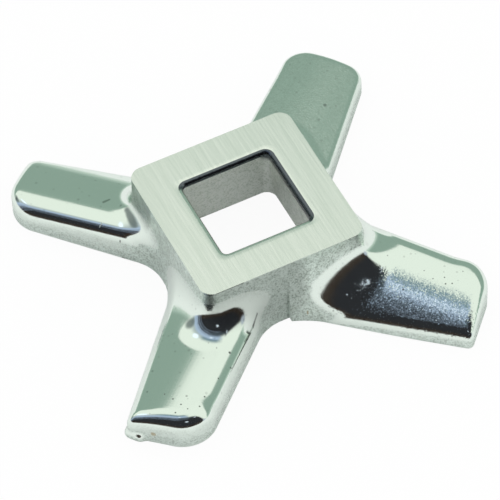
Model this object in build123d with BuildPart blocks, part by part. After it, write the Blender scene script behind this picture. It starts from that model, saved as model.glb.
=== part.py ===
from build123d import *
import math
import os

os.makedirs("parts", exist_ok=True)

# Meat grinder knife: a square hub with a square drive bore and four blades, one casting.
# Millimetres. The cutting faces lie in the plane Z = 0 and the hub stands up along +Z.
# Seen from above, the knife turns anticlockwise, so each blade leads with its tall side.

# Hub, with the side and corner radius at its ground top face; its walls draft outward below that
hub_side = 17.5
hub_height = 8.2
hub_corner_radius = 1.35
hub_draft_angle = 2.0

# Square drive bore, cast with a draft that opens it toward the cutting side
bore_across_flats = 9.4
bore_draft_angle = 5.2
bore_corner_radius = 0.5
bore_rim_radius = 0.5

# Relief round the bore on the cutting side, which keeps the middle of the hub off the plate
relief_land = 2.0
relief_corner_radius = 2.0
relief_depth = 1.2

# Blades
blade_count = 4
first_blade_angle = 45.0
blade_reach = 24.4
tip_skew = 0.3
lead_side_offset = 3.9
lead_side_taper = 3.15
trail_side_offset = 4.75
trail_side_taper = 2.9
tip_lead_radius = 3.0
tip_trail_radius = 1.4

# Section of a blade: tall rounded leading side, then a back that falls to a low trailing side
crest_height = 3.85
crest_radius = 1.8
back_radius = 11.5
back_angle = 25.0
trail_edge_radius = 1.0

# Concave root where the blades grow out of the hub, and the bare wall between two roots
root_radius = 3.9
root_land = 0.4

# Worked out from the sizes above
blade_start = 0.25 * hub_side
taper_station = hub_side
blade_outer = blade_reach + 2 * crest_height
trail_direction = Vector(1, math.tan(math.radians(trail_side_taper)), 0)
trail_edge_offset = -trail_side_offset - taper_station * trail_direction.Y
crest_offset = lead_side_offset - crest_radius - taper_station * trail_direction.Y


def lead_side(reach):
    """How far the leading side stands from the blade's middle line at a distance from the axis."""
    return lead_side_offset - (reach - taper_station) * math.tan(math.radians(lead_side_taper))


def trail_side(reach):
    """How far the trailing side stands from the blade's middle line, on the other side."""
    return trail_edge_offset + reach * trail_direction.Y


# The roots stay under the hub's top face, and on each hub wall two of them share what the blades leave
blade_footprint = math.sqrt(2) * (lead_side(hub_side / 2) - trail_side(hub_side / 2))
root_room = (hub_side - blade_footprint - root_land) / (2 * math.tan(math.radians(22.5)))
root_fillet = min(root_radius, root_room, 2.2 * crest_radius, 0.9 * (hub_height - crest_height))


# One blade, pointing along +X, with its leading side toward +Y
with BuildPart() as blade:
    with BuildSketch() as blade_plan:
        with BuildLine():
            Polyline(
                (blade_start, lead_side(blade_start)),
                (blade_reach - tip_skew / 2, lead_side(blade_reach)),
                (blade_reach + tip_skew / 2, trail_side(blade_reach)),
                (blade_start, trail_side(blade_start)),
                close=True,
            )
        make_face()
        tip_corners = blade_plan.vertices().sort_by(Axis.X)[-2:]
        fillet(tip_corners.sort_by(Axis.Y)[-1], tip_lead_radius)
    extrude(amount=crest_height)

    # The crest rounding runs along the leading side and round the tip
    top_edges = blade.faces().sort_by(Axis.Z)[-1].edges()
    root_and_trail = top_edges.sort_by(Axis.X)[:1] + top_edges.sort_by(Axis.Y)[:1]
    fillet([edge for edge in top_edges if edge not in root_and_trail], crest_radius)

    # The back falls away from the crest on an arc, then runs straight past the trailing side
    with BuildSketch(Plane.YZ):
        with BuildLine():
            back_arc = CenterArc((crest_offset, crest_height - back_radius), back_radius, 90, back_angle)
            back_run = PolarLine(back_arc @ 1, trail_side_offset, 180 + back_angle)
            Polyline(
                back_run @ 1,
                ((back_run @ 1).X, 2 * crest_height),
                (crest_offset, 2 * crest_height),
                back_arc @ 0,
            )
        make_face()
    extrude(amount=blade_outer, dir=trail_direction, mode=Mode.SUBTRACT)

# What comes off the trailing corner of a tip to round it
with BuildSketch() as tip_trim:
    add(blade_plan.sketch)
    with BuildSketch(mode=Mode.PRIVATE) as rounded_plan:
        add(blade_plan.sketch)
        fillet(rounded_plan.vertices().sort_by(Axis.X)[-1], tip_trail_radius)
    add(rounded_plan.sketch, mode=Mode.SUBTRACT)

# The casting: hub and blades together
with BuildPart() as knife:
    with BuildSketch():
        hub_growth = hub_height * math.tan(math.radians(hub_draft_angle))
        hub_foot = hub_side + 2 * hub_growth
        RectangleRounded(hub_foot, hub_foot, hub_corner_radius + hub_growth)
    extrude(amount=hub_height, taper=hub_draft_angle)
    hub_walls = [face for face in knife.faces() if abs(face.normal_at().Z) < 0.5]
    with PolarLocations(0, blade_count, start_angle=first_blade_angle):
        add(blade.part)

    # Every edge where a blade meets the hub wall gets the concave root
    def is_root(edge):
        """True for an edge on the hub wall that lies between the cutting plane and the hub's top."""
        middle = edge @ 0.5
        if middle.Z < 0.01 or edge.bounding_box().max.Z > hub_height - 0.01:
            return False
        return min(wall.distance_to(middle) for wall in hub_walls) < 0.01

    fillet(knife.edges().filter_by(is_root), root_fillet)

    # The trailing edges are eased, then the trailing corner of each tip is rounded off
    def is_trailing_edge(edge):
        """True for the straight edge between a blade's back and its low side wall."""
        middle = edge @ 0.5
        if edge.geom_type != GeomType.LINE or edge.length < 0.4 * blade_reach or middle.Z < 0.01:
            return False
        turns = [first_blade_angle + k * 360 / blade_count for k in range(blade_count)]
        spots = [middle.rotate(Axis.Z, -turn) for turn in turns]
        return any(spot.X > 0 and abs(spot.Y - trail_side(spot.X)) < 0.01 for spot in spots)

    fillet(knife.edges().filter_by(is_trailing_edge), trail_edge_radius)
    with BuildSketch():
        with PolarLocations(0, blade_count, start_angle=first_blade_angle):
            add(tip_trim.sketch)
    extrude(amount=crest_height, mode=Mode.SUBTRACT)

    # Drive bore, from the cutting side up to the ground top face
    with BuildSketch():
        bore_growth = hub_height * math.tan(math.radians(bore_draft_angle))
        bore_bottom = bore_across_flats + 2 * bore_growth
        RectangleRounded(bore_bottom, bore_bottom, bore_corner_radius + bore_growth)
    extrude(amount=hub_height, taper=bore_draft_angle, mode=Mode.SUBTRACT)
    bore_rim = knife.faces().sort_by(Axis.Z)[-1].inner_wires()[0].edges()
    fillet(bore_rim, bore_rim_radius)

    # Relief on the cutting side, with a land left along the hub walls
    with BuildSketch():
        relief_side = hub_side - 2 * relief_land
        RectangleRounded(relief_side, relief_side, relief_corner_radius)
    extrude(amount=relief_depth, mode=Mode.SUBTRACT)

knife.part.label = "knife"
export_step(knife.part, "parts/knife.step")
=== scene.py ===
import math

import bpy
import numpy as np
from mathutils import Matrix, Vector


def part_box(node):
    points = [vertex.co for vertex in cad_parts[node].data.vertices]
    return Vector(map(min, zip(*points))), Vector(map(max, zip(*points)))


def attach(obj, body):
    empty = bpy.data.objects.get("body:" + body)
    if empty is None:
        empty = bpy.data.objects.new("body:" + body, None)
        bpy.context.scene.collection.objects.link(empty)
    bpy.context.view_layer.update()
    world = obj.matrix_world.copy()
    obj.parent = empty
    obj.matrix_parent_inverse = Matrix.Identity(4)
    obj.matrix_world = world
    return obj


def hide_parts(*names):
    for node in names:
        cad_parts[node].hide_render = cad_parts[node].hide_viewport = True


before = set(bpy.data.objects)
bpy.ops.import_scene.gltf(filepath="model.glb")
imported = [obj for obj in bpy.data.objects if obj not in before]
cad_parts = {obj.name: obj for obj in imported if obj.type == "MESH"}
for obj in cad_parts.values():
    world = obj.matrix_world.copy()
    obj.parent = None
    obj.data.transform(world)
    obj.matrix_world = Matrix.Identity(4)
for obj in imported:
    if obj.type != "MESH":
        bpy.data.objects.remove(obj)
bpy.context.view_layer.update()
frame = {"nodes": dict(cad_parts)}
print("frame loaded:", ", ".join(frame["nodes"]))

mm = 0.001  # every size below is in millimetres, and meshes are made in metres

cameraView = {
    "aim": (-0.96, -2.54, 4.0),
    "distance": 392.7,
    "azimuth": -114.60,
    "elevation": 52.18,
    "roll": -2.56,
    "lens": 288.0,
    "sensor": 36.0,
}


def makeCamera(view):
    azimuth, elevation = math.radians(view["azimuth"]), math.radians(view["elevation"])
    back = Vector((
        math.cos(elevation) * math.cos(azimuth),
        math.cos(elevation) * math.sin(azimuth),
        math.sin(elevation),
    ))
    data = bpy.data.cameras.new("camera")
    data.lens = view["lens"]
    data.sensor_width = view["sensor"]
    camera = bpy.data.objects.new("camera", data)
    upright = back.to_track_quat("Z", "Y").to_matrix().to_4x4()
    place = Matrix.Translation((Vector(view["aim"]) + back * view["distance"]) * mm)
    camera.matrix_world = place @ upright @ Matrix.Rotation(math.radians(view["roll"]), 4, "Z")
    bpy.context.scene.collection.objects.link(camera)
    bpy.context.scene.camera = camera


makeCamera(cameraView)
print("camera placed")

hub = {
    "half": 8.75,
    "height": (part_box("knife")[1][2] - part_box("knife")[0][2]) / mm,
    "corner": 1.35,       # radius of the upright corners
    "draft": 2.0,         # degrees that the walls lean outward below the ground face
}

bore = {
    "half": 4.7,
    "corner": 0.5,
    "draft": 5.2,         # degrees, opening toward the cutting side
    "rim": 0.5,
}

relief = {
    "half": 6.75,
    "corner": 2.0,
    "depth": 1.2,
}

station = 17.5   # the blades' offsets and heights below are given at this distance from the axis

# What differs from blade to blade, as cast and ground
#   angle, reach            where it points, and its end's distance from the axis
#   lead, trail             from the middle line out to either side, at the station
#   leadTaper, trailTaper   degrees by which the sides close in outward
#   skew                    how much less it reaches for each skewWidth toward the leading side
#   leadCorner, trailCorner rounding of its end's two corners, seen from above
#   crest, droop            height of the highest line, and the degrees by which it falls outward
#   inset, brow             from the leading side in to that line, and the degrees by which the top falls to the side
#   round, nose             rounding along the leading side, and over the end
#   back, fall              radius of the back, and its steepest angle
#   trailEdge               rounding along the low trailing side
#   rootTop, rootSide       hollow between the hub and the blade's top, and between the hub and its sides
#   skin, rootSkin          how much cast skin is left on the blade, and how far it reaches out from the hub
#   rootBright              1 where the polish runs further up the root
#   grainyBack, ridged, nib 1 for a grainy back, for ridges along the leading side, and for a nib on the end
blades = {
    "far": {
        "angle": 45, "reach": 24.3,
        "lead": 3.8, "leadTaper": 4.0, "trail": 4.83, "trailTaper": 2.9,
        "skew": 0.25, "leadCorner": 2.3, "trailCorner": 1.5,
        "crest": 3.92, "droop": 4.0, "inset": 2.2, "brow": 0.0,
        "round": 0.8, "nose": 0.6, "back": 12.0, "fall": 22.0, "trailEdge": 0.6,
        "rootTop": 2.4, "rootSide": 4.0, "skin": 0.2, "rootSkin": 0.6,
        "rootBright": 0, "grainyBack": 0, "ridged": 0, "nib": 0,
    },
    "left": {
        "angle": 135, "reach": 24.62,
        "lead": 3.95, "leadTaper": 3.15, "trail": 4.62, "trailTaper": 3.1,
        "skew": -0.2, "leadCorner": 3.2, "trailCorner": 1.4,
        "crest": 3.5, "droop": 5.0, "inset": 2.25, "brow": 26.0,
        "round": 0.95, "nose": 1.0, "back": 11.3, "fall": 28.0, "trailEdge": 0.9,
        "rootTop": 2.3, "rootSide": 4.0, "skin": 0.0, "rootSkin": 0.2,
        "rootBright": 1, "grainyBack": 0, "ridged": 0, "nib": 0,
    },
    "near": {
        "angle": 225, "reach": 24.35,
        "lead": 4.0, "leadTaper": 3.15, "trail": 4.77, "trailTaper": 4.6,
        "skew": 0.5, "leadCorner": 3.0, "trailCorner": 0.7,
        "crest": 3.72, "droop": 0.0, "inset": 2.6, "brow": 0.0,
        "round": 2.2, "nose": 1.6, "back": 14.0, "fall": 30.0, "trailEdge": 1.2,
        "rootTop": 3.3, "rootSide": 4.0, "skin": 0.0, "rootSkin": 0.0,
        "rootBright": 1, "grainyBack": 0, "ridged": 1, "nib": 1,
    },
    "right": {
        "angle": 315, "reach": 24.5,
        "lead": 3.95, "leadTaper": 5.0, "trail": 5.45, "trailTaper": 5.2,
        "skew": 0.2, "leadCorner": 3.0, "trailCorner": 0.6,
        "crest": 4.1, "droop": 5.0, "inset": 2.0, "brow": 0.0,
        "round": 1.9, "nose": 1.2, "back": 10.5, "fall": 48.0, "trailEdge": 1.0,
        "rootTop": 3.7, "rootSide": 4.0, "skin": 0.0, "rootSkin": 0.0,
        "rootBright": 0, "grainyBack": 1, "ridged": 0, "nib": 0,
    },
}

# How the blades' forms run into each other, the same for all of them
forms = {
    "skewWidth": 8.0,
    "browRadius": 4.0,
    "sideEdge": (2.0, 5.0),       # in from the trailing side, where the rounding along the top changes over
    "tipEdge": (0.0, 5.0),        # the same over the end
    "endEdge": (-4.5, -1.0),      # before the end, where one runs into the other
    "mostAgree": 0.9,             # limit for surfaces that run nearly alike into a root
}

# The nib of flash on the end of the near blade: the ends of its middle line along and across the blade
nib = {
    "start": (24.30, -2.85),
    "stop": (24.15, -3.85),
    "height": 0.3,
    "radius": 0.6,
    "blend": 0.3,
}

# Rows of the mesh, and how it is spread over the casting
weave = {
    "lines": 800,
    "boreRows": 8,
    "rimRows": 6,
    "topRows": 7,
    "castRows": 76,
    "underRows": 5,
    "reliefRows": 2,
    "outlineBend": 0.4,   # extra lines for each radian that the outline turns, in mm
    "sectionBend": 2.0,   # extra rows for each radian that a section turns, in mm
    "spread": 4.0,        # lines over which the rows are evened out
    "spreadReach": 12,    # and how far that reaches
    "outlineTries": 14401,
    "outlineWindow": 20,  # tries on either side over which a turn of the outline is averaged
    "evenShare": 0.35,    # how much the lines keep to even angles, at the hub's reach
    "hubReach": 8.0,
    "sectionTries": 321,
}

# Where the surface is looked for, in mm: out from the axis, and out and up from the foot of a ray
search = {
    "inner": 7.8,
    "edge": 14.0,
    "outer": 28.0,
    "near": 0.2,
    "high": 9.5,
    "coarseSteps": 16,
    "outlineSteps": 24,
    "fineSteps": 30,
}


# The larger of two distances, with the edge between them rounded to a radius
def roundMax(a, b, radius):
    return np.minimum(-radius, np.maximum(a, b)) + np.hypot(np.maximum(a + radius, 0), np.maximum(b + radius, 0))


# 0 below low, 1 above high, and an S curve between
def smoothStep(value, low, high):
    part = np.clip((value - low) / (high - low), 0, 1)
    return part * part * (3 - 2 * part)


# Distance from a square with rounded corners, and its outward direction
def squareDistance(x, y, half, corner):
    qx, qy = np.abs(x) - half + corner, np.abs(y) - half + corner
    cx, cy = np.maximum(qx, 0), np.maximum(qy, 0)
    past = np.hypot(cx, cy)
    inside = np.maximum(qx, qy) < 0
    nx = np.where(inside, qx >= qy, cx / np.maximum(past, 1e-9)) * np.sign(x)
    ny = np.where(inside, qx < qy, cy / np.maximum(past, 1e-9)) * np.sign(y)
    return past + np.minimum(np.maximum(qx, qy), 0) - corner, nx, ny


# Distance from the centre to the outline of a rounded square, along an angle
def polarSquare(angle, half, corner):
    folded = np.abs((angle + math.pi / 4) % (math.pi / 2) - math.pi / 4)
    flatReach = half / np.cos(folded)
    centre = half - corner
    across = centre * (np.cos(folded) - np.sin(folded))
    cornerReach = centre * (np.cos(folded) + np.sin(folded)) + np.sqrt(np.maximum(corner ** 2 - across ** 2, 0))
    return np.where(half * np.tan(folded) <= centre, flatReach, cornerReach)


# One blade's own axes: outward along it, and toward its leading side
def bladeAxes(x, y, own):
    return x * own["cos"] + y * own["sin"], y * own["cos"] - x * own["sin"]


# Distances from a blade's leading side, trailing side and end, and from its rounded plan
def bladePlan(s, t, own):
    leadTaper, trailTaper = np.radians(own["leadTaper"]), np.radians(own["trailTaper"])
    lead = (t - own["lead"] + (s - station) * np.tan(leadTaper)) * np.cos(leadTaper)
    trail = -(t + own["trail"] - (s - station) * np.tan(trailTaper)) * np.cos(trailTaper)
    end = s - own["reach"] + own["skew"] * t / forms["skewWidth"]
    return lead, trail, end, roundMax(roundMax(lead, end, own["leadCorner"]), trail, own["trailCorner"])


# How far an arc that goes on straight has fallen at a distance across it, and the cosine of its slope
def fallenArc(across, radius, steepest):
    onArc = np.minimum(across, radius * np.sin(steepest))
    level = np.sqrt(radius ** 2 - onArc ** 2) / radius
    return radius * (1 - level) + (across - onArc) * np.tan(steepest), level


# Distance above a blade's top, which falls from its highest line to the back and toward the leading side
def bladeTop(s, z, lead, own):
    across = lead + own["inset"]
    backDrop, backLevel = fallenArc(np.maximum(-across, 0), own["back"], np.radians(own["fall"]))
    browDrop, browLevel = fallenArc(np.maximum(across, 0), forms["browRadius"], np.radians(own["brow"]))
    crest = own["crest"] - (s - station) * np.tan(np.radians(own["droop"]))
    return (z - crest + backDrop + browDrop) * backLevel * browLevel


# Distance from the nib, a short rod with round ends
def nibDistance(s, t, z):
    ds, dt = nib["stop"][0] - nib["start"][0], nib["stop"][1] - nib["start"][1]
    part = np.clip(((s - nib["start"][0]) * ds + (t - nib["start"][1]) * dt) / (ds * ds + dt * dt), 0, 1)
    return np.sqrt((s - nib["start"][0] - part * ds) ** 2 + (t - nib["start"][1] - part * dt) ** 2
                   + (z - nib["height"]) ** 2) - nib["radius"]


# Signed distance from the casting, without its top, its underside and its bore.
# The hub is a square with walls that lean out, and a blade is its rounded plan under its top.
# Where the two meet, a circle of the root radius fills the corner between their surfaces.
def castDistance(x, y, z, own):
    s, t = bladeAxes(x, y, own)
    lead, trail, end, plan = bladePlan(s, t, own)
    above = bladeTop(s, z, lead, own)
    side = own["trailEdge"] + (own["round"] - own["trailEdge"]) * smoothStep(-trail, *forms["sideEdge"])
    tip = own["trailEdge"] + (own["nose"] - own["trailEdge"]) * smoothStep(-trail, *forms["tipEdge"])
    edge = side + (tip - side) * smoothStep(end, *forms["endEdge"])
    body = roundMax(plan, above, edge)
    body = np.where(own["nib"] > 0, -roundMax(-body, -nibDistance(s, t, z), nib["blend"]), body)
    lean = smoothStep(np.arctan2(np.maximum(plan + edge, 0), np.maximum(above + edge, 0)), 0, math.pi / 2)

    wall, nx, ny = squareDistance(x, y, hub["half"], hub["corner"])
    draft = math.radians(hub["draft"])
    wall = (wall - (hub["height"] - z) * math.tan(draft)) * math.cos(draft)

    # how far the two surfaces' directions agree, which sets where the root's circle lies
    sideways = (ny * own["cos"] - nx * own["sin"]) * np.where(lead > trail, 1, -1)
    agree = np.clip(lean * sideways, 0, forms["mostAgree"])
    root = own["rootTop"] + (own["rootSide"] - own["rootTop"]) * lean
    u, v = root - wall, root - body
    inCorner = (u > v * agree) & (v > u * agree)
    reach = np.sqrt(np.maximum(u * u + v * v - 2 * u * v * agree, 0) / (1 - agree ** 2))
    return np.where(inCorner, root - reach, np.minimum(wall, body))


# Narrows a bracket on the surface, for whole arrays at once
def bisect(inside, outside, isOutside, steps):
    for _ in range(steps):
        middle = (inside + outside) / 2
        beyond = isOutside(middle)
        outside = np.where(beyond, middle, outside)
        inside = np.where(beyond, inside, middle)
    return (inside + outside) / 2


# Each line's own blade: the one in whose quarter of the hub it lies
def ownSizes(angle):
    quarter = np.floor(angle / (math.pi / 2)).astype(int) % 4
    rows = list(blades.values())
    own = {key: np.array([row[key] for row in rows], float)[quarter] for key in rows[0]}
    own["cos"], own["sin"] = np.cos(np.radians(own["angle"])), np.sin(np.radians(own["angle"]))
    return own


# Angles of the mesh's lines, so that they meet the casting's outline at even steps
def spreadLines(count):
    angle = np.linspace(0, 2 * math.pi, weave["outlineTries"])[:-1] + 1e-4
    own = ownSizes(angle)
    c, s = np.cos(angle), np.sin(angle)
    reach = bisect(np.full(angle.shape, search["inner"]), np.full(angle.shape, search["outer"]),
                   lambda r: castDistance(r * c, r * s, 0.0 * r, own) > 0, search["outlineSteps"])
    outline = reach * np.exp(1j * angle)
    step = np.roll(outline, -1) - outline
    turn = np.abs(np.angle(np.roll(step, -1) / step))
    side = weave["outlineWindow"]
    window = 2 * side + 1
    turn = np.convolve(np.r_[turn[-side:], turn, turn[:side]], np.ones(window) / window, "valid")
    even = weave["hubReach"] * 2 * math.pi / len(angle) * weave["evenShare"]
    cost = np.abs(step) + weave["outlineBend"] * turn + even
    total = np.r_[0, np.cumsum(cost)]
    return np.interp(np.arange(count) / count * total[-1], total, np.r_[angle, angle[0] + 2 * math.pi])


# Points of each line from the edge of the ground face down the hub, over the blade and to the cutting plane.
# Rays fan out from a point on the cutting plane under the hub's wall, and each stops at the surface.
def castSections(angle, own):
    c, s = np.cos(angle)[:, None], np.sin(angle)[:, None]
    own = {key: value[:, None] for key, value in own.items()}
    origin = (relief["half"] + hub["half"]) / 2 / np.maximum(np.abs(c), np.abs(s))

    def surface(rise, steps):
        dr, dz = np.cos(rise), np.sin(rise)
        far = np.minimum((search["outer"] - origin) / np.maximum(dr, 1e-6), search["high"] / np.maximum(dz, 1e-6))
        reach = bisect(np.full(rise.shape, search["near"]), far,
                       lambda k: castDistance((origin + k * dr) * c, (origin + k * dr) * s, k * dz, own) > 0, steps)
        return origin + reach * dr, reach * dz

    edgeReach = bisect(np.full(c.shape, search["inner"]), np.full(c.shape, search["edge"]),
                       lambda r: castDistance(r * c, r * s, hub["height"] + 0 * r, own) > 0, search["fineSteps"])
    steepest = np.arctan2(hub["height"], edgeReach - origin)
    fine = np.linspace(1, 0, weave["sectionTries"])[None, :]
    r, z = surface(steepest * fine, search["coarseSteps"])
    path = r + 1j * z
    step = np.diff(path, axis=1)
    turn = np.abs(np.angle(step[:, 1:] / step[:, :-1]))
    turn = np.concatenate([turn[:, :1], turn], axis=1)
    cost = np.abs(step) + weave["sectionBend"] * turn
    total = np.concatenate([np.zeros_like(c), np.cumsum(cost, axis=1)], axis=1)
    total /= total[:, -1:]
    goal = np.linspace(0, 1, weave["castRows"])
    share = np.array([np.interp(goal, row, fine[0]) for row in total])

    side = weave["spreadReach"]
    window = np.exp(-0.5 * (np.arange(-side, side + 1) / weave["spread"]) ** 2)
    window /= window.sum()
    wrapped = np.concatenate([share[-side:], share, share[:side]])
    share = sum(weight * wrapped[k:k + len(share)] for k, weight in enumerate(window))
    r, z = surface(steepest * share, search["fineSteps"])
    r[:, :1], z[:, 0] = edgeReach, hub["height"]
    z[:, -1] = 0
    return r, z


# Mesh points, lines round the axis by rows round each section, with the rows where each surface starts
def knifeGrid():
    angle = spreadLines(weave["lines"])
    own = ownSizes(angle)
    draft = math.tan(math.radians(bore["draft"]))
    top = hub["height"]
    rows, starts = [], {}

    def squareRow(half, corner, z):
        rows.append((polarSquare(angle, half, corner), np.full(angle.shape, float(z))))

    def boreRow(z, widening):
        growth = (top - z) * draft + widening
        squareRow(bore["half"] + growth, bore["corner"] + growth, z)

    def levelRows(start, stop, z, count):
        for k in range(1, count + 1):
            rows.append((start + (stop - start) * k / (count + 1), np.full(angle.shape, float(z))))

    starts["bore"] = 0
    for z in np.linspace(relief["depth"], top - bore["rim"], weave["boreRows"]):
        boreRow(z, 0)
    starts["rim"] = len(rows) - 1
    for turn in np.linspace(0, math.pi / 2, weave["rimRows"] + 1)[1:]:
        boreRow(top - bore["rim"] * (1 - math.sin(turn)), bore["rim"] * (1 - math.cos(turn)))
    starts["top"] = len(rows) - 1
    castR, castZ = castSections(angle, own)
    levelRows(rows[-1][0], castR[:, 0], top, weave["topRows"])
    starts["cast"] = len(rows)
    rows.extend(zip(castR.T, castZ.T))
    starts["under"] = len(rows) - 1
    reliefEdge = polarSquare(angle, relief["half"], relief["corner"])
    levelRows(castR[:, -1], reliefEdge, 0, weave["underRows"])
    starts["relief"] = len(rows)
    squareRow(relief["half"], relief["corner"], 0)
    for k in range(1, weave["reliefRows"]):
        squareRow(relief["half"], relief["corner"], relief["depth"] * k / weave["reliefRows"])
    starts["ceiling"] = len(rows)
    squareRow(relief["half"], relief["corner"], relief["depth"])
    levelRows(reliefEdge, rows[0][0], relief["depth"], weave["reliefRows"])
    r, z = np.array([row[0] for row in rows]), np.array([row[1] for row in rows])
    return np.stack([r * np.cos(angle), r * np.sin(angle), z], axis=-1), own, starts


# A closed ring of quads from a grid of points that joins up in both directions
def gridMesh(name, points, creases):
    rows, lines = points.shape[:2]
    index = np.arange(rows * lines).reshape(rows, lines)
    nextRow, nextLine = np.roll(index, -1, axis=0), np.roll(index, -1, axis=1)
    faces = np.stack([index, nextRow, np.roll(nextRow, -1, axis=1), nextLine], axis=-1).reshape(-1, 4)
    mesh = bpy.data.meshes.new(name)
    mesh.from_pydata((points.reshape(-1, 3) * mm).tolist(), [], faces.tolist())
    mesh.update()
    mesh.polygons.foreach_set("use_smooth", np.ones(len(faces), bool))
    ends = np.empty(len(mesh.edges) * 2, int)
    mesh.edges.foreach_get("vertices", ends)
    row = (ends // lines).reshape(-1, 2)
    sharp = (row[:, 0] == row[:, 1]) & np.isin(row[:, 0], creases)
    mesh.attributes.new("sharp_edge", "BOOLEAN", "EDGE").data.foreach_set("value", sharp)
    return mesh


def addPiece(name, mesh, body, slot, *nodes):
    piece = bpy.data.objects.new(name, mesh)
    bpy.context.scene.collection.objects.link(piece)
    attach(piece, body)
    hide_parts(*nodes)
    return piece


# Where the finish changes, from one value to the next, in mm unless it says otherwise
finish = {
    "steep": (0.30, 0.36),          # upward share of a surface's direction, below which the cast skin stays
    "rootLift": 0.20,               # added to that share near the hub, where the polish runs further up
    "rootLiftWall": (3.0, 5.0),
    "bladeWall": (0.8, 3.5),        # out from the hub's wall, where the blades' own sides start
    "bladeLess": 0.25,              # share by which their skin is thinner, low down
    "bladeLessHigh": 0.45,          # and what is added to it high up
    "bladeHigh": (0.8, 1.8),
    "rootSoft": 0.5,
    "grainyAcross": (1.2, 3.0),     # back from the highest line
    "grainyWall": (1.0, 3.0),
    "grainyHigh": (0.9, 1.6),
    "ridgedWall": (1.0, 4.0),
    "ridgedEnd": (-3.0, -1.5),
}


# Where the casting keeps its rough skin, its grainy shine and its ridges, for the materials,
# with each point's distance along its blade and from its leading side
def addFinish(mesh, points, own):
    x, y, z = points[..., 0], points[..., 1], points[..., 2]
    s, t = bladeAxes(x, y, own)
    lead, _, end, _ = bladePlan(s, t, own)
    wall, _, _ = squareDistance(x, y, hub["half"], hub["corner"])
    alongRow = np.roll(points, -1, axis=1) - np.roll(points, 1, axis=1)
    alongLine = np.roll(points, -1, axis=0) - np.roll(points, 1, axis=0)
    across = np.cross(alongLine, alongRow)
    level = np.abs(across[..., 2]) / np.maximum(np.linalg.norm(across, axis=-1), 1e-9)

    lift = finish["rootLift"] * (1 - smoothStep(wall, *finish["rootLiftWall"])) * own["rootBright"]
    upright = 1 - smoothStep(level + lift, *finish["steep"])
    onBlade = smoothStep(wall, *finish["bladeWall"])
    upright *= 1 - onBlade * (finish["bladeLess"] + finish["bladeLessHigh"] * smoothStep(z, *finish["bladeHigh"]))
    nearHub = 1 - smoothStep(wall, own["rootSkin"] - finish["rootSoft"], own["rootSkin"] + finish["rootSoft"])
    grainy = own["grainyBack"] * smoothStep(-(lead + own["inset"]), *finish["grainyAcross"])
    values = {
        "skin": np.maximum(np.maximum(upright, nearHub), own["skin"] + 0 * z),
        "speckle": grainy * smoothStep(wall, *finish["grainyWall"]) * smoothStep(z, *finish["grainyHigh"]),
        "ridge": own["ridged"] * smoothStep(wall, *finish["ridgedWall"]) * (1 - smoothStep(end, *finish["ridgedEnd"])),
    }
    for key, value in values.items():
        mesh.attributes.new(key, "FLOAT", "POINT").data.foreach_set("value", value.ravel().astype(np.float32))
    along = np.stack([s, lead, z], axis=-1) * mm
    mesh.attributes.new("along", "FLOAT_VECTOR", "POINT").data.foreach_set("vector", along.ravel().astype(np.float32))


points, own, starts = knifeGrid()
creases = [starts[key] for key in ("bore", "cast", "under", "relief", "ceiling")]
knifeMesh = gridMesh("knifeCasting", points, creases)
addFinish(knifeMesh, points, own)
knifePiece = addPiece("knifeCasting", knifeMesh, "root", "cast_steel", "knife")
print("knife made:", len(knifeMesh.polygons), "faces")


# A node with its inputs and properties set by name
def addNode(tree, kind, **values):
    node = tree.nodes.new(kind)
    for key, value in values.items():
        if key in node.inputs:
            node.inputs[key].default_value = value
        else:
            setattr(node, key, value)
    return node


# Joins an output to an input, or sets the input where a plain value is given
def feed(tree, value, socket):
    if isinstance(value, bpy.types.NodeSocket):
        tree.links.new(value, socket)
    else:
        socket.default_value = value


def mathNode(tree, operation, *values, clamp=False):
    node = addNode(tree, "ShaderNodeMath", operation=operation, use_clamp=clamp)
    for value, socket in zip(values, node.inputs):
        feed(tree, value, socket)
    return node.outputs[0]


def mixNode(tree, under, over, factor):
    mix = addNode(tree, "ShaderNodeMix", data_type="RGBA")
    for value, socket in ((under, mix.inputs[6]), (over, mix.inputs[7]), (factor, mix.inputs[0])):
        feed(tree, value, socket)
    return mix.outputs[2]


# 0 to 1 as a value goes from low to high
def rampNode(tree, value, low, high):
    ramp = addNode(tree, "ShaderNodeMapRange", interpolation_type="SMOOTHSTEP")
    feed(tree, value, ramp.inputs["Value"])
    ramp.inputs["From Min"].default_value, ramp.inputs["From Max"].default_value = low, high
    return ramp.outputs["Result"]


def newGroup(name, inputs, outputs):
    group = bpy.data.node_groups.new(name, "ShaderNodeTree")
    for title, kind, value in inputs:
        socket = group.interface.new_socket(title, in_out="INPUT", socket_type=kind)
        socket.default_value = value
    for title, kind in outputs:
        group.interface.new_socket(title, in_out="OUTPUT", socket_type=kind)
    return group, group.nodes.new("NodeGroupInput"), group.nodes.new("NodeGroupOutput")


# Rough grain of a sand casting: light and dark grains, and the height of their bumps
def castGrainGroup():
    group, given, result = newGroup(
        "castGrain",
        [("Place", "NodeSocketVector", (0, 0, 0)), ("Grain", "NodeSocketFloat", 5200.0)],
        [("Shade", "NodeSocketFloat"), ("Height", "NodeSocketFloat")],
    )
    fine = addNode(group, "ShaderNodeTexNoise", Detail=3.0, Roughness=0.65)
    coarse = addNode(group, "ShaderNodeTexNoise", Detail=2.0, Roughness=0.5)
    for noise, size in ((fine, 1.0), (coarse, 0.22)):
        group.links.new(given.outputs["Place"], noise.inputs["Vector"])
        feed(group, mathNode(group, "MULTIPLY", given.outputs["Grain"], size), noise.inputs["Scale"])
    grains = rampNode(group, fine.outputs[0], 0.38, 0.54)
    patches = rampNode(group, coarse.outputs[0], 0.3, 0.7)
    grains, patches = mathNode(group, "MULTIPLY", grains, 0.7), mathNode(group, "MULTIPLY", patches, 0.3)
    group.links.new(mathNode(group, "ADD", grains, patches), result.inputs["Shade"])
    group.links.new(fine.outputs[0], result.inputs["Height"])
    return group


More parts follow.
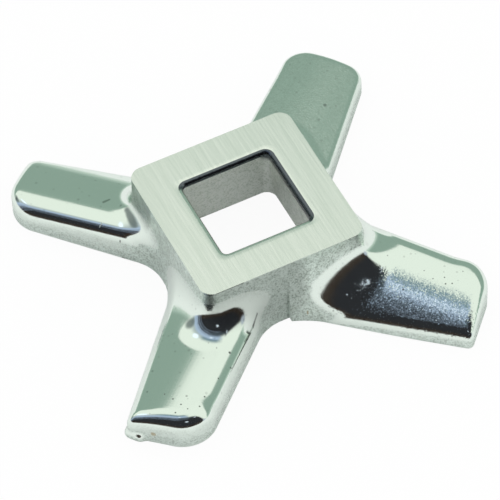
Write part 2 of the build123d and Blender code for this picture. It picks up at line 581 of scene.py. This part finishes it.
# Lines left by a grinder or a polishing belt: noise drawn out along one way
def grindLinesGroup():
    group, given, result = newGroup(
        "grindLines",
        [("Place", "NodeSocketVector", (0, 0, 0)), ("Stretch", "NodeSocketVector", (1, 1, 1))],
        [("Shade", "NodeSocketFloat"), ("Height", "NodeSocketFloat")],
    )
    drawn = addNode(group, "ShaderNodeVectorMath", operation="MULTIPLY")
    group.links.new(given.outputs["Place"], drawn.inputs[0])
    group.links.new(given.outputs["Stretch"], drawn.inputs[1])
    fine = addNode(group, "ShaderNodeTexNoise", Scale=1.0, Detail=4.0, Roughness=0.7)
    group.links.new(drawn.outputs[0], fine.inputs["Vector"])
    group.links.new(rampNode(group, fine.outputs[0], 0.3, 0.7), result.inputs["Shade"])
    group.links.new(fine.outputs[0], result.inputs["Height"])
    return group


# Scattered pits: 1 in each pit
def pitsGroup():
    group, given, result = newGroup(
        "pits",
        [("Place", "NodeSocketVector", (0, 0, 0)), ("Spacing", "NodeSocketFloat", 900.0),
         ("Size", "NodeSocketFloat", 0.12), ("Share", "NodeSocketFloat", 0.3)],
        [("Mask", "NodeSocketFloat")],
    )
    cells = addNode(group, "ShaderNodeTexVoronoi", feature="F1")
    group.links.new(given.outputs["Place"], cells.inputs["Vector"])
    group.links.new(given.outputs["Spacing"], cells.inputs["Scale"])
    picked = addNode(group, "ShaderNodeSeparateColor")
    group.links.new(cells.outputs["Color"], picked.inputs[0])
    chosen = mathNode(group, "LESS_THAN", picked.outputs[0], given.outputs["Share"])
    reach = mathNode(group, "MULTIPLY", given.outputs["Size"], mathNode(group, "ADD", 0.4, picked.outputs[1]))
    inside = mathNode(group, "SUBTRACT", 1.0, mathNode(group, "DIVIDE", cells.outputs["Distance"], reach), clamp=True)
    group.links.new(mathNode(group, "MULTIPLY", rampNode(group, inside, 0.0, 0.5), chosen), result.inputs["Mask"])
    return group


# Fine facets of a grainy shine: each grain leans aside its own way, most of them a little, a few far
def sparkleGroup():
    group, given, result = newGroup(
        "sparkle",
        [("Place", "NodeSocketVector", (0, 0, 0)), ("Spacing", "NodeSocketFloat", 6000.0),
         ("Amount", "NodeSocketFloat", 0.5)],
        [("Lean", "NodeSocketVector")],
    )
    cells = addNode(group, "ShaderNodeTexVoronoi", feature="F1")
    group.links.new(given.outputs["Place"], cells.inputs["Vector"])
    group.links.new(given.outputs["Spacing"], cells.inputs["Scale"])
    centred = addNode(group, "ShaderNodeVectorMath", operation="SUBTRACT")
    group.links.new(cells.outputs["Color"], centred.inputs[0])
    centred.inputs[1].default_value = (0.5, 0.5, 0.5)
    picked = addNode(group, "ShaderNodeSeparateColor")
    group.links.new(cells.outputs["Color"], picked.inputs[0])
    strength = mathNode(group, "ADD", mathNode(group, "POWER", picked.outputs[2], 7.0), 0.3)
    lean = addNode(group, "ShaderNodeVectorMath", operation="SCALE")
    group.links.new(centred.outputs[0], lean.inputs[0])
    group.links.new(mathNode(group, "MULTIPLY", strength, given.outputs["Amount"]), lean.inputs["Scale"])
    group.links.new(lean.outputs[0], result.inputs["Lean"])
    return group


# One mark along a straight line: 1 near the line, 0 from its reach on
def markGroup():
    group, given, result = newGroup(
        "mark",
        [("Place", "NodeSocketVector", (0, 0, 0)), ("Start", "NodeSocketVector", (0, 0, 0)),
         ("Stop", "NodeSocketVector", (0, 0, 0)), ("Reach", "NodeSocketFloat", 0.0001)],
        [("Mask", "NodeSocketFloat")],
    )

    def vectorNode(operation, first, second):
        node = addNode(group, "ShaderNodeVectorMath", operation=operation)
        for value, socket in zip((first, second), node.inputs):
            if value is not None:
                feed(group, value, socket)
        return node

    run = vectorNode("SUBTRACT", given.outputs["Stop"], given.outputs["Start"]).outputs[0]
    away = vectorNode("SUBTRACT", given.outputs["Place"], given.outputs["Start"]).outputs[0]
    part = mathNode(group, "DIVIDE", vectorNode("DOT_PRODUCT", away, run).outputs["Value"],
                    vectorNode("DOT_PRODUCT", run, run).outputs["Value"], clamp=True)
    onLine = vectorNode("SCALE", run, None)
    feed(group, part, onLine.inputs["Scale"])
    gap = vectorNode("LENGTH", vectorNode("SUBTRACT", away, onLine.outputs[0]).outputs[0], None).outputs["Value"]
    share = mathNode(group, "DIVIDE", gap, given.outputs["Reach"])
    group.links.new(mathNode(group, "SUBTRACT", 1.0, rampNode(group, share, 0.35, 1.0)), result.inputs["Mask"])
    return group


castGrain, grindLines, pits = castGrainGroup(), grindLinesGroup(), pitsGroup()
sparkle, mark = sparkleGroup(), markGroup()


def placeGroup(tree, group, **values):
    node = tree.nodes.new("ShaderNodeGroup")
    node.node_tree = group
    for key, value in values.items():
        feed(tree, value, node.inputs[key])
    return node


def newMaterial(name):
    material = bpy.data.materials.new(name)
    material.use_nodes = True
    tree = material.node_tree
    return material, tree, tree.nodes["Principled BSDF"]


def bumpNode(tree, height, strength, distance, normal=None):
    bump = addNode(tree, "ShaderNodeBump")
    feed(tree, height, bump.inputs["Height"])
    feed(tree, strength, bump.inputs["Strength"])
    bump.inputs["Distance"].default_value = distance
    if normal:
        tree.links.new(normal, bump.inputs["Normal"])
    return bump.outputs[0]


castLook = {
    "polished": (0.80, 0.87, 0.81, 1),
    "skin": (0.76, 0.85, 0.79, 1),
    "skinDark": (0.36, 0.42, 0.37, 1),
    "pit": (0.10, 0.11, 0.10, 1),
    "polishRough": 0.10,
    "skinRough": 0.34,
    "grain": 5200.0,
    "grainBump": (0.02, 0.75, 0.00006),      # on polished metal, what the skin adds, and its height in metres
    "lines": (60.0, 4200.0, 4200.0),
    "linesBump": (0.10, 0.00003),
    "pits": {"Spacing": 700.0, "Size": 0.16, "Share": 0.16},
    "specks": {"Spacing": 2600.0, "Size": 0.35, "Share": 0.10},
    "speckShade": 0.4,                       # a speck's shade against a pit's
    "pitShade": 0.45,
    "ridges": ((-1.1, 0.35), (-1.9, 0.4)),   # distance from the leading side, and width
    "ridgeHeight": 0.000008,
    "glints": 10500.0,
    "glintLean": 0.24,
}

markUpright = 0.3    # heights count less than places seen from above, so a mark stays where the surface is
markShade = 0.85

# Single marks: pits, stains and a scratch as cast or worn, and painted shade and painted dark reflections (the
# shadows, corner and shades groups):
# colour, or the share of the colour that stays, how far they roughen, and for each one its start, stop and reach
marks = {
    "pits": {
        "colour": (0.08, 0.085, 0.08, 1), "rough": 0.2, "lines": (
            ((-15.43, -14.95, 3.64), None, 0.12),
            ((-15.05, -15.93, 3.71), None, 0.12),
            ((-14.72, -16.70, 3.72), None, 0.10),
            ((-15.94, -16.53, 3.68), None, 0.12),
            ((-15.85, -13.97, 3.49), None, 0.10),
            ((-12.62, -16.09, 3.58), None, 0.12),
            ((-8.12, -12.43, 3.43), None, 0.17),
            ((-9.08, -11.54, 3.86), None, 0.09),
            ((-9.55, -10.69, 4.02), None, 0.10),
            ((-8.68, -13.76, 2.91), None, 0.12),
            ((-10.43, -14.63, 3.37), None, 0.11),
            ((-13.56, -16.92, 3.65), None, 0.12),
            ((-20.28, -14.72, 0.37), None, 0.05),
            ((-3.71, -9.65, 3.77), (-4.55, -10.30, 2.88), 0.12),
            ((14.17, -14.90, 3.60), None, 0.12),
            ((14.76, -15.16, 3.61), None, 0.11),
            ((14.41, -14.25, 3.74), None, 0.10),
            ((13.34, -13.85, 3.73), None, 0.09),
            ((10.30, -13.39, 3.30), None, 0.14),
            ((16.35, -14.42, 3.73), None, 0.08),
            ((10.49, -9.77, 4.57), None, 0.08),
            ((12.98, -12.70, 3.91), None, 0.08),
            ((-11.39, 5.42, 2.61), None, 0.10),
            ((-7.6, -8.75, 8.2), (-4.6, -8.75, 8.2), 0.045),
        ),
    },
    # painted shade: darker green-grey patches near the blade roots, where they lie in shade
    "shadows": {
        "colour": (0.34, 0.40, 0.35, 1), "rough": 0.1, "lines": (
            ((-11.02, 9.86, 3.86), (-10.40, 9.89, 4.01), 0.22),
            ((-4.55, -10.30, 2.88), (-6.06, -11.52, 2.81), 0.09),
        ),
    },
    # painted dark reflection: the hub's rounded upright corners darkened where they mirror the dark side of the room
    "cornerReflections": {
        "colour": (0.13, 0.13, 0.12, 1), "rough": 0.1, "lines": (
            ((-8.85, -8.85, 7.7), None, 0.62),
            ((8.9, -8.9, 7.6), None, 0.55),
        ),
    },
    "stains": {
        "colour": (0.50, 0.44, 0.30, 1), "rough": 0.25, "lines": (
            ((-18.45, -16.20, 1.36), (-18.05, -16.38, 1.34), 0.12),
            ((1.47, -10.12, 1.23), None, 0.14),
        ),
    },
    # painted shade: parts of the hub's walls darkened where they lie in shade or mirror the dark side of the room
    "shades": {
        "share": 0.62, "rough": 0.0, "lines": (
            ((-7.0, -8.85, 6.6), (0.5, -8.9, 5.8), 2.2),
            ((-8.9, 7.6, 7.2), (-8.9, 4.0, 6.8), 0.9),
            ((9.3, -2.5, 5.5), (9.3, 2.5, 5.5), 1.2),
        ),
    },
    "scratches": {
        "colour": (0.9, 0.95, 0.9, 1), "rough": 0.6, "lines": (
            ((-12.60, 7.50, 3.38), (-12.28, 7.62, 3.54), 0.09),
        ),
    },
}


# Mixes a set of marks over a colour and a roughness
def addMarks(tree, place, looks, colour, rough):
    squashed = addNode(tree, "ShaderNodeVectorMath", operation="MULTIPLY")
    tree.links.new(place, squashed.inputs[0])
    squashed.inputs[1].default_value = (1, 1, markUpright)
    for look in looks.values():
        mask = 0.0
        for start, stop, reach in look["lines"]:
            start, stop = [[x * mm, y * mm, z * markUpright * mm] for x, y, z in (start, stop or start)]
            one = placeGroup(tree, mark, Place=squashed.outputs[0], Start=start, Stop=stop, Reach=reach * mm)
            mask = mathNode(tree, "MAXIMUM", mask, one.outputs["Mask"])
        over = look.get("colour") or mixNode(tree, (0, 0, 0, 1), colour, look["share"])
        colour = mixNode(tree, colour, over, mathNode(tree, "MULTIPLY", mask, markShade))
        rough = mathNode(tree, "ADD", rough, mathNode(tree, "MULTIPLY", mask, look["rough"]))
    return colour, rough


# Blades and walls: polished on the crests and backs, with the grainy skin of the casting elsewhere
def castMaterial(look):
    material, tree, shader = newMaterial("castSteel")
    link = tree.links.new
    place = addNode(tree, "ShaderNodeTexCoord").outputs["Object"]
    skin, speckle, ridge = (
        addNode(tree, "ShaderNodeAttribute", attribute_name=key).outputs["Fac"] for key in ("skin", "speckle", "ridge")
    )
    along = addNode(tree, "ShaderNodeAttribute", attribute_name="along").outputs["Vector"]
    grain = placeGroup(tree, castGrain, Place=place, Grain=look["grain"])
    lines = placeGroup(tree, grindLines, Place=along, Stretch=look["lines"])
    pit = placeGroup(tree, pits, Place=place, **look["pits"])
    speck = placeGroup(tree, pits, Place=place, **look["specks"])

    skinColour = mixNode(tree, look["skinDark"], look["skin"], grain.outputs["Shade"])
    colour = mixNode(tree, look["polished"], skinColour, skin)
    specks = mathNode(tree, "MULTIPLY", speck.outputs[0], look["speckShade"])
    pitted = mathNode(tree, "ADD", pit.outputs[0], specks, clamp=True)
    colour = mixNode(tree, colour, look["pit"], mathNode(tree, "MULTIPLY", pitted, look["pitShade"]))
    roughSkin = mathNode(tree, "MULTIPLY", skin, look["skinRough"] - look["polishRough"])
    rough = mathNode(tree, "ADD", look["polishRough"], roughSkin)
    colour, rough = addMarks(tree, place, marks, colour, rough)
    link(colour, shader.inputs["Base Color"])
    link(rough, shader.inputs["Roughness"])
    shader.inputs["Metallic"].default_value = 1.0

    parts = addNode(tree, "ShaderNodeSeparateXYZ")
    link(along, parts.inputs[0])
    ridges = 0.0
    for middle, width in look["ridges"]:
        off = mathNode(tree, "ABSOLUTE", mathNode(tree, "SUBTRACT", parts.outputs[1], middle * mm))
        ridges = mathNode(tree, "ADD", ridges, mathNode(tree, "SUBTRACT", 1.0, rampNode(tree, off, 0.0, width * mm)))

    least, more, grainHeight = look["grainBump"]
    most, linesHeight = look["linesBump"]
    drawn = mathNode(tree, "MULTIPLY", mathNode(tree, "SUBTRACT", 1.0, speckle), most)
    grainy = mathNode(tree, "ADD", mathNode(tree, "MULTIPLY", skin, more), least)
    normal = bumpNode(tree, lines.outputs["Height"], drawn, linesHeight)
    normal = bumpNode(tree, ridges, ridge, look["ridgeHeight"], normal)
    normal = bumpNode(tree, grain.outputs["Height"], grainy, grainHeight, normal)
    lean = mathNode(tree, "MULTIPLY", speckle, look["glintLean"])
    glints = placeGroup(tree, sparkle, Place=place, Spacing=look["glints"], Amount=lean)
    leaning = addNode(tree, "ShaderNodeVectorMath", operation="ADD")
    link(normal, leaning.inputs[0])
    link(glints.outputs["Lean"], leaning.inputs[1])
    unit = addNode(tree, "ShaderNodeVectorMath", operation="NORMALIZE")
    link(leaning.outputs[0], unit.inputs[0])
    link(unit.outputs[0], shader.inputs["Normal"])
    return material


groundLook = {
    "high": (0.97, 0.99, 0.93, 1),
    "low": (0.86, 0.90, 0.83, 1),
    "rough": 0.25,
    "lines": (3600.0, 110.0, 1000.0),   # the grinder ran along Y
    "linesBump": (0.12, 0.00004),
}


# Ground faces: fine straight lines over a dull shine
def groundMaterial(look):
    material, tree, shader = newMaterial("groundSteel")
    link = tree.links.new
    place = addNode(tree, "ShaderNodeTexCoord").outputs["Object"]
    lines = placeGroup(tree, grindLines, Place=place, Stretch=look["lines"])
    link(mixNode(tree, look["low"], look["high"], lines.outputs["Shade"]), shader.inputs["Base Color"])
    shader.inputs["Metallic"].default_value = 1.0
    shader.inputs["Roughness"].default_value = look["rough"]
    link(bumpNode(tree, lines.outputs["Height"], *look["linesBump"]), shader.inputs["Normal"])
    return material


boreLook = {
    "skin": (0.98, 1.0, 0.96, 1),
    "skinDark": (0.66, 0.71, 0.64, 1),
    "rough": 0.38,
    "grain": 4600.0,
    "grainBump": (0.6, 0.0001),
    # painted dark reflection: the colour of the polished band along one wall's top
    "darkReflectionBand": (0.09, 0.10, 0.11, 1),
    "bandHeight": 7.9,
    "bandReach": 1.1,
    "bandPolish": 0.22,
}


# Bore: cast walls, duller and more uneven than outside
def boreMaterial(look):
    material, tree, shader = newMaterial("boreSteel")
    link = tree.links.new
    place = addNode(tree, "ShaderNodeTexCoord").outputs["Object"]
    grain = placeGroup(tree, castGrain, Place=place, Grain=look["grain"])
    shade = mixNode(tree, look["skinDark"], look["skin"], grain.outputs["Shade"])
    # the polish of the rim reaches further down on one wall, and its colour there is a painted dark reflection of the
    # dark side of the room
    half = bore["half"]
    ends = [(half * mm, y * mm, look["bandHeight"] * mm) for y in (-half, half)]
    darkReflectionBand = placeGroup(tree, mark, Place=place, Start=ends[0], Stop=ends[1], Reach=look["bandReach"] * mm).outputs[0]
    link(mixNode(tree, shade, look["darkReflectionBand"], darkReflectionBand), shader.inputs["Base Color"])
    shader.inputs["Metallic"].default_value = 1.0
    smoother = mathNode(tree, "MULTIPLY", darkReflectionBand, look["bandPolish"])
    link(mathNode(tree, "SUBTRACT", look["rough"], smoother), shader.inputs["Roughness"])
    link(bumpNode(tree, grain.outputs["Height"], *look["grainBump"]), shader.inputs["Normal"])
    return material


rimLook = {
    # colour is a painted dark reflection on the far sides; nearColour is the plain metal of the others
    "colour": (0.12, 0.135, 0.15, 1),
    "nearColour": (0.78, 0.84, 0.77, 1),
    "paintedReflectionFrom": (4.2, 4.6),     # on the sides toward +X and +Y
    "rough": 0.16,
    "grain": 2500.0,
    "grainBump": (0.3, 0.0001),
}


# Rounded rim of the bore, with a painted dark reflection along two of its sides, where it mirrors the dark side of the
# room
def rimMaterial(look):
    material, tree, shader = newMaterial("rimSteel")
    place = addNode(tree, "ShaderNodeTexCoord").outputs["Object"]
    grain = placeGroup(tree, castGrain, Place=place, Grain=look["grain"])
    parts = addNode(tree, "ShaderNodeSeparateXYZ")
    tree.links.new(place, parts.inputs[0])
    low, high = look["paintedReflectionFrom"]
    outward = mathNode(tree, "MAXIMUM", parts.outputs[0], parts.outputs[1])
    paintedReflection = rampNode(tree, outward, low * mm, high * mm)
    tree.links.new(mixNode(tree, look["nearColour"], look["colour"], paintedReflection), shader.inputs["Base Color"])
    shader.inputs["Metallic"].default_value = 1.0
    shader.inputs["Roughness"].default_value = look["rough"]
    tree.links.new(bumpNode(tree, grain.outputs["Height"], *look["grainBump"]), shader.inputs["Normal"])
    return material


# Each band of rows takes the material of its surface
def assignMaterials(mesh, starts):
    mesh.materials.append(castMaterial(castLook))
    mesh.materials.append(groundMaterial(groundLook))
    mesh.materials.append(boreMaterial(boreLook))
    mesh.materials.append(rimMaterial(rimLook))
    cast, ground, inBore, rim = range(4)
    slots = np.full(len(mesh.polygons) // weave["lines"], cast)
    slots[starts["bore"]:starts["rim"]] = inBore
    slots[starts["rim"]:starts["top"]] = rim
    slots[starts["top"]:starts["cast"]] = ground
    slots[starts["under"]:starts["relief"]] = ground
    slots[starts["relief"]:] = inBore
    mesh.polygons.foreach_set("material_index", np.repeat(slots, weave["lines"]))


assignMaterials(knifeMesh, starts)
print("materials made")

studio = {
    "floorSize": 4000.0,
    "floorColour": (0.93, 0.95, 0.94, 1),
    "floorRough": 0.9,
    "floorGlow": 0.94,                     # share of the page's white that the camera sees whatever the shadow
    "page": (1.0, 1.0, 1.0, 1),
    "pale": (0.93, 0.98, 0.91, 1),
    "lamp": (0.88, 0.96, 1.12, 1),
    # azimuth, elevation, inner and outer angle, and brightness
    "lamps": (
        (147.0, 52.0, 4.0, 8.0, 1.3),
        (202.0, 77.0, 0.5, 3.5, 1.1),
        (303.0, 57.0, 1.0, 3.5, 1.0),
        (257.0, 42.0, 1.5, 4.5, 1.3),
        (312.0, 4.0, 3.0, 8.0, 0.6),
    ),
}

# The grey-green wall that the metal mirrors
wallLook = {
    "colour": (0.30, 0.405, 0.35, 1),
    "foot": (0.58, 0.69, 0.62, 1),
    "footHeight": (0.02, 0.14),
    "azimuth": 50.0,                       # degrees round Z to its middle
    "rise": 1.258,                         # slope of its straight upper edge, seen from the knife
    "soft": 0.02,
}

# The side that the light falls off to. Ranges say how far past its edge something starts and is full.
darkLook = {
    "edge": (-0.248, -0.925, -0.288),      # away from the plane where it starts
    "colour": (0.022, 0.023, 0.028, 1),
    "full": (-0.14, 0.06),
    "half": (222.0, (-0.02, 0.05)),        # azimuth to its middle, and where it starts round from there
    "lowColour": (0.040, 0.028, 0.022, 1),
    "low": (0.1, 0.3),
    "highColour": (0.065, 0.082, 0.10, 1),
    "high": (0.86, 0.93),
    "dim": (0.18, 0.27, 0.33, 1),
    "dimLow": (0.50, 0.56, 0.58, 1),
    "dimRange": (-0.48, -0.27),
    "tube": (0.46, 0.56, 0.76, 1),
    "tubeRange": (-0.28, -0.17),
    "tubeHalf": (170.0, (-0.15, 0.0)),
    "threads": ((-0.02, 0.9), (0.09, 0.7), (0.20, 0.45)),   # place past the edge, and brightness
    "threadReach": 0.03,
    "nook": (0.13, 0.16, 0.165, 1),
    "nookSpot": (144.0, 17.0, 7.0, 16.0),  # azimuth, elevation, inner and outer angle, as for the person
    "nookShade": 0.85,
    "person": (235.0, 0.0, 38.0, 45.0),    # who stands in front of the dark side
}


def heading(azimuth, elevation):
    azimuth, elevation = math.radians(azimuth), math.radians(elevation)
    return (math.cos(elevation) * math.cos(azimuth), math.cos(elevation) * math.sin(azimuth), math.sin(elevation))


def makeFloor(look):
    half = look["floorSize"] / 2 * mm
    mesh = bpy.data.meshes.new("floor")
    mesh.from_pydata([(-half, -half, 0), (half, -half, 0), (half, half, 0), (-half, half, 0)], [], [(0, 1, 2, 3)])
    floor = bpy.data.objects.new("floor", mesh)
    bpy.context.scene.collection.objects.link(floor)
    material, tree, shader = newMaterial("paleFloor")
    shader.inputs["Base Color"].default_value = look["floorColour"]
    shader.inputs["Roughness"].default_value = look["floorRough"]
    shader.inputs["Specular IOR Level"].default_value = 0.0
    glow = addNode(tree, "ShaderNodeEmission", Color=look["page"], Strength=1.0)
    cameraRay = addNode(tree, "ShaderNodeLightPath").outputs["Is Camera Ray"]
    seen = mathNode(tree, "MULTIPLY", cameraRay, look["floorGlow"])
    blend = addNode(tree, "ShaderNodeMixShader")
    tree.links.new(seen, blend.inputs[0])
    tree.links.new(shader.outputs[0], blend.inputs[1])
    tree.links.new(glow.outputs[0], blend.inputs[2])
    tree.links.new(blend.outputs[0], tree.nodes["Material Output"].inputs["Surface"])
    mesh.materials.append(material)


# Pale light for the page and the floor; metal mirrors a room with a grey-green wall, a dark side and lamps
def makeWorld(look, wallLook, darkLook):
    world = bpy.data.worlds.new("studio")
    bpy.context.scene.world = world
    world.use_nodes = True
    tree = world.node_tree
    tree.nodes.clear()
    view = addNode(tree, "ShaderNodeTexCoord").outputs["Generated"]

    def toward(direction, low, high):
        dot = addNode(tree, "ShaderNodeVectorMath", operation="DOT_PRODUCT")
        tree.links.new(view, dot.inputs[0])
        dot.inputs[1].default_value = direction
        return rampNode(tree, dot.outputs["Value"], low, high)

    def upward(low, high):
        return toward((0, 0, 1), low, high)

    def pastEdge(low, high):
        return toward(darkLook["edge"], low, high)

    def spot(azimuth, elevation, inner, outer):
        return toward(heading(azimuth, elevation), math.cos(math.radians(outer)), math.cos(math.radians(inner)))

    def over(room, colour, *masks):
        mask = masks[0]
        for other in masks[1:]:
            mask = mathNode(tree, "MULTIPLY", mask, other)
        return mixNode(tree, room, colour, mask)

    across = heading(wallLook["azimuth"], 0)
    size = math.hypot(wallLook["rise"], 1)
    wallSide = (across[0] * wallLook["rise"] / size, across[1] * wallLook["rise"] / size, -1 / size)
    wall = over(wallLook["foot"], wallLook["colour"], upward(*wallLook["footHeight"]))
    room = over(look["pale"], wall, toward(wallSide, -wallLook["soft"], wallLook["soft"]))

    # from the pale side to the dark side: a dim strip, a long lamp, then dark with thin lines of light low down
    tubeAzimuth, tubeHalf = darkLook["tubeHalf"]
    darkAzimuth, darkHalf = darkLook["half"]
    leftHalf = toward(heading(tubeAzimuth, 0), *tubeHalf)
    high = upward(*darkLook["high"])
    low = mathNode(tree, "SUBTRACT", 1.0, high)
    dim = over(darkLook["dimLow"], darkLook["dim"], high)
    room = over(room, dim, pastEdge(*darkLook["dimRange"]), leftHalf)
    room = over(room, darkLook["tube"], pastEdge(*darkLook["tubeRange"]), leftHalf)
    dark = over(darkLook["lowColour"], darkLook["colour"], upward(*darkLook["low"]))
    dark = over(dark, darkLook["highColour"], high)
    room = over(room, dark, pastEdge(*darkLook["full"]), toward(heading(darkAzimuth, 0), *darkHalf))
    for middle, bright in darkLook["threads"]:
        reach = darkLook["threadReach"]
        thread = mathNode(tree, "SUBTRACT", pastEdge(middle - reach, middle), pastEdge(middle, middle + reach))
        room = over(room, darkLook["tube"], thread, low, leftHalf, bright)
    room = over(room, darkLook["nook"], spot(*darkLook["nookSpot"]), darkLook["nookShade"])
    room = over(room, dark, spot(*darkLook["person"]))
    for azimuth, elevation, inner, outer, bright in look["lamps"]:
        lamp = [bright * part for part in look["lamp"][:3]] + [1]
        room = over(room, lamp, spot(azimuth, elevation, inner, outer))

    mirrored = addNode(tree, "ShaderNodeLightPath").outputs["Is Glossy Ray"]
    background = addNode(tree, "ShaderNodeBackground")
    tree.links.new(mixNode(tree, look["page"], room, mirrored), background.inputs["Color"])
    output = addNode(tree, "ShaderNodeOutputWorld")
    tree.links.new(background.outputs[0], output.inputs["Surface"])


makeFloor(studio)
makeWorld(studio, wallLook, darkLook)
bpy.context.scene.view_settings.view_transform = "Standard"
print("studio made")
